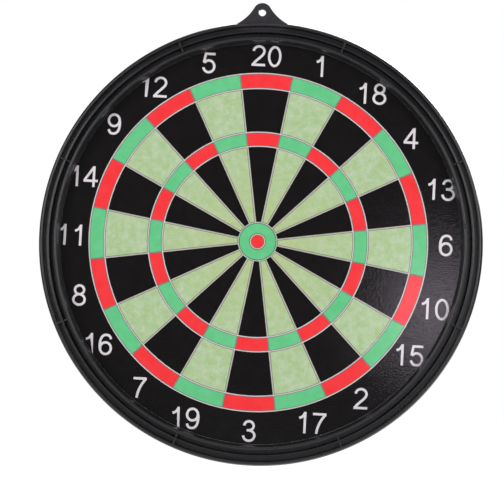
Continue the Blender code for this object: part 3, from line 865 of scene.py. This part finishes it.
def make_cover_mesh():
    cover, ribs, sinks, seats = (bmesh.new() for _ in range(4))
    turn(cover, cover_section(), steps=192)
    flipped = Matrix.Diagonal((1, 1, -1, 1))
    for angle in CROSS_RIBS_DEG:
        radial_bar(
            ribs,
            angle - CROSS_RIBS_DEG[0],
            COVER_RINGS[0],
            BAND_INNER_RADIUS + STEP_SLOPE / 2,
            COVER_RIB_WIDTH,
            -FIELD_FRONT_Z + REACH,
            -BACK_Z - 0.03 * MM,
            0.3 * MM,
        )
        below = BACK_Z - 0.3 * MM
        depth = SINK_MOUTH_RADIUS - SCREW_CLEARANCE_RADIUS
        sink = [(0, below), (SINK_MOUTH_RADIUS, below), (SCREW_CLEARANCE_RADIUS, below + depth)]
        sink += [(SCREW_CLEARANCE_RADIUS, BAND_FRONT_Z + MM), (0, BAND_FRONT_Z + MM)]
        turn(sinks, sink, clock_place(angle, SCREW_CIRCLE), 32)
    ribs.transform(flipped)
    for angle in PADS_DEG:
        seat = [(0, BACK_Z - MM), (PAD_SEAT_RADIUS, BACK_Z - MM)]
        seat += [(PAD_SEAT_RADIUS, PAD_SEAT_Z), (0, PAD_SEAT_Z)]
        turn(seats, seat, clock_place(angle, PAD_CIRCLE), 64)
    cuts = (("DIFFERENCE", sinks), ("DIFFERENCE", seats))
    return combined("rear_cover_moulding", cover, ("UNION", ribs), *cuts)


# The same ABS from a mould with a coarser leather grain, so the back is duller than the ring. The grain
# is about 1.2 mm across.
LEATHER_GRAIN_MM = 1.2
grained_abs, tree, shader, in_mm = new_finish("moulded_abs_grained_black", "#2F2F32", 0.52, 1.54)
leather = add(tree, "TexVoronoi", {"Scale": 1 / LEATHER_GRAIN_MM}, {"Vector": in_mm}, feature="SMOOTH_F1")
flow = add(tree, "TexNoise", {"Scale": 1 / FLOW_MARK_MM, "Detail": 4.0}, {"Vector": in_mm})
shade = add(tree, "ValToRGB", links={"Fac": flow.outputs["Fac"]})
shade.color_ramp.elements[0].position = 0.35
shade.color_ramp.elements[0].color = linear("#2E2E31")
shade.color_ramp.elements[1].position = 0.65
shade.color_ramp.elements[1].color = linear("#313134")
tree.links.new(shade.outputs["Color"], shader.inputs["Base Color"])
bump = add(tree, "Bump", {"Strength": 0.5, "Distance": 0.15 * MM}, {"Height": leather.outputs["Distance"]})
tree.links.new(bump.outputs["Normal"], shader.inputs["Normal"])

fit("rear_cover_moulding", make_cover_mesh(), [grained_abs], ["rear_cover"])


# Screws ------------------------------------------------------------------------------------------------
# Eight small countersunk screws with a cross recess, of zinc-plated steel, driven through the cover into
# the ring's bosses.

SCREW_HEAD_Z = wall_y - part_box("screw_1")[1].y
SCREW_TIP_Z = wall_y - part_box("screw_1")[0].y
SCREW_SHANK_RADIUS = 1.2 * MM
HEAD_RIM = 0.2 * MM
RECESS_HALF_LENGTH = 1.6 * MM
RECESS_WIDTH = 0.6 * MM
RECESS_DEPTH = 1.1 * MM
THREAD_PITCH = 1.3 * MM
THREAD_DEPTH = 0.25 * MM
SCREW_SPIN_DEG = 37


def make_screw_mesh():
    """A screw along z with its head's face at z = 0, rings for a thread and a tapered cross recess."""
    length = SCREW_TIP_Z - SCREW_HEAD_Z
    neck = SCREW_HEAD_RADIUS - SCREW_SHANK_RADIUS + HEAD_RIM
    profile = [(0, 0), (SCREW_HEAD_RADIUS - 0.15 * MM, 0), (SCREW_HEAD_RADIUS, 0.08 * MM)]
    profile += [(SCREW_HEAD_RADIUS, HEAD_RIM), (SCREW_SHANK_RADIUS, neck)]
    z = neck + THREAD_PITCH / 2
    while z < length - 2 * SCREW_SHANK_RADIUS:
        profile += [(SCREW_SHANK_RADIUS - THREAD_DEPTH, z), (SCREW_SHANK_RADIUS, z + THREAD_PITCH / 2)]
        z += THREAD_PITCH
    profile += [(0.35 * MM, length - 0.1 * MM), (0, length)]
    body = bmesh.new()
    turn(body, profile[::-1], steps=32)
    cuts = []
    for quarter in (0, 90):
        place = Matrix.Rotation(math.radians(quarter), 4, "Z") @ Matrix.Rotation(math.radians(90), 4, "X")
        outline = [
            (-RECESS_HALF_LENGTH - 0.1 * MM, -0.1 * MM),
            (RECESS_HALF_LENGTH + 0.1 * MM, -0.1 * MM),
            (RECESS_HALF_LENGTH / 2, RECESS_DEPTH),
            (-RECESS_HALF_LENGTH / 2, RECESS_DEPTH),
        ]
        cuts.append(("DIFFERENCE", bmesh.new()))
        prism(cuts[-1][1], outline, -RECESS_WIDTH / 2, RECESS_WIDTH / 2, place)
    return combined("cross_head_screw", body, *cuts)


# Zinc-plated steel: a cool bright grey with a slight haze, patchy over about 1.5 mm.
HAZE_MM = 1.5
zinc, tree, shader, in_mm = new_finish("zinc_plated_steel", "#C2C6CC", 0.5, metallic=1.0)
haze = add(tree, "TexNoise", {"Scale": 1 / HAZE_MM, "Detail": 4.0}, {"Vector": in_mm})
rough = add(tree, "MapRange", {"To Min": 0.42, "To Max": 0.62}, {"Value": haze.outputs["Fac"]})
tree.links.new(rough.outputs["Result"], shader.inputs["Roughness"])

screw_mesh = make_screw_mesh()
for number, angle in enumerate(CROSS_RIBS_DEG, 1):
    # A hand-driven screw stops where it stops, so each recess is left at a turn of its own.
    spun = Matrix.Rotation(math.radians(SCREW_SPIN_DEG * number), 4, "Z")
    place = BOARD @ clock_place(angle, SCREW_CIRCLE, SCREW_HEAD_Z) @ spun
    fit(f"cross_head_screw_{number}", screw_mesh, [zinc], [f"screw_{number}"], place)


# Wall pads ---------------------------------------------------------------------------------------------
# Four moulded rubber discs glued into round seats in the cover's edge band. They keep the board off the
# wall, and a shallow groove in each lets it grip.

PAD_TOP_Z = wall_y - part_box("wall_pad_1")[0].y
PAD_GROOVE_RADIUS = 4.6 * MM


def make_pad_mesh():
    """A disc with a rounded wall-side edge and a round groove in its wall side."""
    groove = 0.5 * MM
    fillet = 0.15 * MM
    corners = [(0, PAD_TOP_Z, 0), (PAD_RADIUS, PAD_TOP_Z, 0), (PAD_RADIUS, 0, 0.7 * MM)]
    corners.append((PAD_GROOVE_RADIUS + groove, 0, fillet))
    corners.append((PAD_GROOVE_RADIUS + groove / 2, groove, fillet))
    corners.append((PAD_GROOVE_RADIUS - groove / 2, groove, fillet))
    corners += [(PAD_GROOVE_RADIUS - groove, 0, fillet), (0, 0, 0)]
    shape = bmesh.new()
    turn(shape, rounded(corners), steps=64)
    return made_mesh("moulded_wall_pad", shape)


# Black rubber: matt, a little dusty, with a fine grain drawn at 0.6 mm.
RUBBER_GRAIN_MM = 0.6
rubber, tree, shader, in_mm = new_finish("moulded_black_rubber", "#232324", 0.82, 1.52)
dust = add(tree, "TexNoise", {"Scale": 1 / RUBBER_GRAIN_MM, "Detail": 5.0}, {"Vector": in_mm})
tone = add(tree, "ValToRGB", links={"Fac": dust.outputs["Fac"]})
tone.color_ramp.elements[0].color = linear("#1F1F20")
tone.color_ramp.elements[1].color = linear("#303031")
tree.links.new(tone.outputs["Color"], shader.inputs["Base Color"])
bump = add(tree, "Bump", {"Strength": 0.3, "Distance": 0.05 * MM}, {"Height": dust.outputs["Fac"]})
tree.links.new(bump.outputs["Normal"], shader.inputs["Normal"])

pad_mesh = make_pad_mesh()
for number, angle in enumerate(PADS_DEG, 1):
    place = BOARD @ clock_place(angle, PAD_CIRCLE)
    fit(f"moulded_wall_pad_{number}", pad_mesh, [rubber], [f"wall_pad_{number}"], place)


# Floor, light and camera -------------------------------------------------------------------------------
# A pale studio floor well below the hanging board that runs out into white, soft lights, and a camera
# almost square to the face, a little to its right and a little below it.

FLOOR_DROP = 0.35
FLOOR_RADIUS = 5.0

floor_shape = bmesh.new()
bmesh.ops.create_circle(floor_shape, cap_ends=True, segments=96, radius=FLOOR_RADIUS)
floor = bpy.data.objects.new("studio_floor", made_mesh("studio_floor", floor_shape))
floor.location = (0, 0, cad_bounds[0].z - FLOOR_DROP)
bpy.context.scene.collection.objects.link(floor)

# Matt white paper: it takes a soft shadow near the board and is lit to plain white further out.
paper = bpy.data.materials.new("matt_white_paper")
paper.use_nodes = True
tree = paper.node_tree
shader = tree.nodes["Principled BSDF"]
shader.inputs["Base Color"].default_value = linear("#E6E5E3")
shader.inputs["Roughness"].default_value = 0.9
shader.inputs["Emission Color"].default_value = (1, 1, 1, 1)
place = add(tree, "TexCoord").outputs["Object"]
shrunk = add(tree, "VectorMath", {1: (0.5, 0.5, 0.5)}, {0: place}, operation="MULTIPLY")
away = add(tree, "VectorMath", links={0: shrunk.outputs[0]}, operation="LENGTH")
glow = add(
    tree,
    "MapRange",
    {"From Min": 0.2, "From Max": 0.9, "To Min": 0.0, "To Max": 1.0},
    {"Value": away.outputs["Value"]},
    interpolation_type="SMOOTHSTEP",
)
seen = add(tree, "LightPath").outputs["Is Camera Ray"]
shown = add(tree, "Math", links={0: glow.outputs["Result"], 1: seen}, operation="MULTIPLY")
tree.links.new(shown.outputs[0], shader.inputs["Emission Strength"])
floor.data.materials.append(paper)


def softbox(name, place, aim, width, height, power, shape="RECTANGLE", colour="#FFFFFF"):
    """A soft light at a place on the board's own axes in metres, facing another."""
    data = bpy.data.lights.new(name, "AREA")
    data.shape = shape
    data.size = width
    data.size_y = height
    data.energy = power
    data.color = linear(colour)[:3]
    lamp = bpy.data.objects.new(name, data)
    here, there = BOARD @ Vector(place), BOARD @ Vector(aim)
    lamp.location = here
    lamp.rotation_mode = "QUATERNION"
    lamp.rotation_quaternion = (there - here).to_track_quat("-Z", "Y")
    bpy.context.scene.collection.objects.link(lamp)


# Two large soft lights stand either side of the camera, and the small round one is the lamp that the
# laminate mirrors as a soft grey patch at the lower right of the face.
board_middle = (0, 0, 0)
glare_middle = (0.165, -0.057, 0.012)
softbox("left_softbox", (-1.35, 0.45, 1.8), board_middle, 1.2, 1.2, 22.3)
softbox("right_softbox", (1.35, 0.4, 1.8), board_middle, 1.2, 1.2, 22.3)
softbox("top_softbox", (0, 1.7, 1.3), board_middle, 1.2, 0.5, 5.0)
softbox("round_softbox", (0.365, -0.072, 1.9), glare_middle, 0.27, 0.245, 0.555, "ELLIPSE", "#FBEEFF")
softbox("back_softbox", (0.4, 0.9, -1.6), board_middle, 1.4, 1.4, 50)

world = bpy.data.worlds.new("white_studio")
bpy.context.scene.world = world
world.use_nodes = True
tree = world.node_tree
seen = tree.nodes["Background"]
seen.inputs["Color"].default_value = (1, 1, 1, 1)
fill = add(tree, "Background", {"Color": (1, 1, 1, 1), "Strength": 0.08})
direct = add(tree, "LightPath").outputs["Is Camera Ray"]
pick = add(tree, "MixShader", links={0: direct, 1: fill.outputs[0], 2: seen.outputs[0]})
tree.links.new(pick.outputs[0], tree.nodes["World Output"].inputs["Surface"])

# A long lens, aimed a little below the middle of the board and to its left.
CAMERA_AZIMUTH_DEG = 1.76
CAMERA_ELEVATION_DEG = -2.81
CAMERA_DISTANCE = 1.296
CAMERA_AIM = Vector((-7.2, -8.9, 12.0)) * MM
CAMERA_ROLL_DEG = 0.74
CAMERA_LENS = 95.9

camera = bpy.data.objects.new("camera", bpy.data.cameras.new("camera"))
camera.data.lens = CAMERA_LENS
bpy.context.scene.collection.objects.link(camera)
azimuth, elevation = math.radians(CAMERA_AZIMUTH_DEG), math.radians(CAMERA_ELEVATION_DEG)
stand = CAMERA_DISTANCE * Vector(
    (
        math.sin(azimuth) * math.cos(elevation),
        math.sin(elevation),
        math.cos(azimuth) * math.cos(elevation),
    )
)
looking = (BOARD @ CAMERA_AIM - BOARD @ stand).to_track_quat("-Z", "Y")
roll = Matrix.Rotation(math.radians(CAMERA_ROLL_DEG), 4, "Z")
camera.matrix_world = Matrix.Translation(BOARD @ stand) @ looking.to_matrix().to_4x4() @ roll
bpy.context.scene.camera = camera
bpy.context.scene.view_settings.view_transform = "Standard"
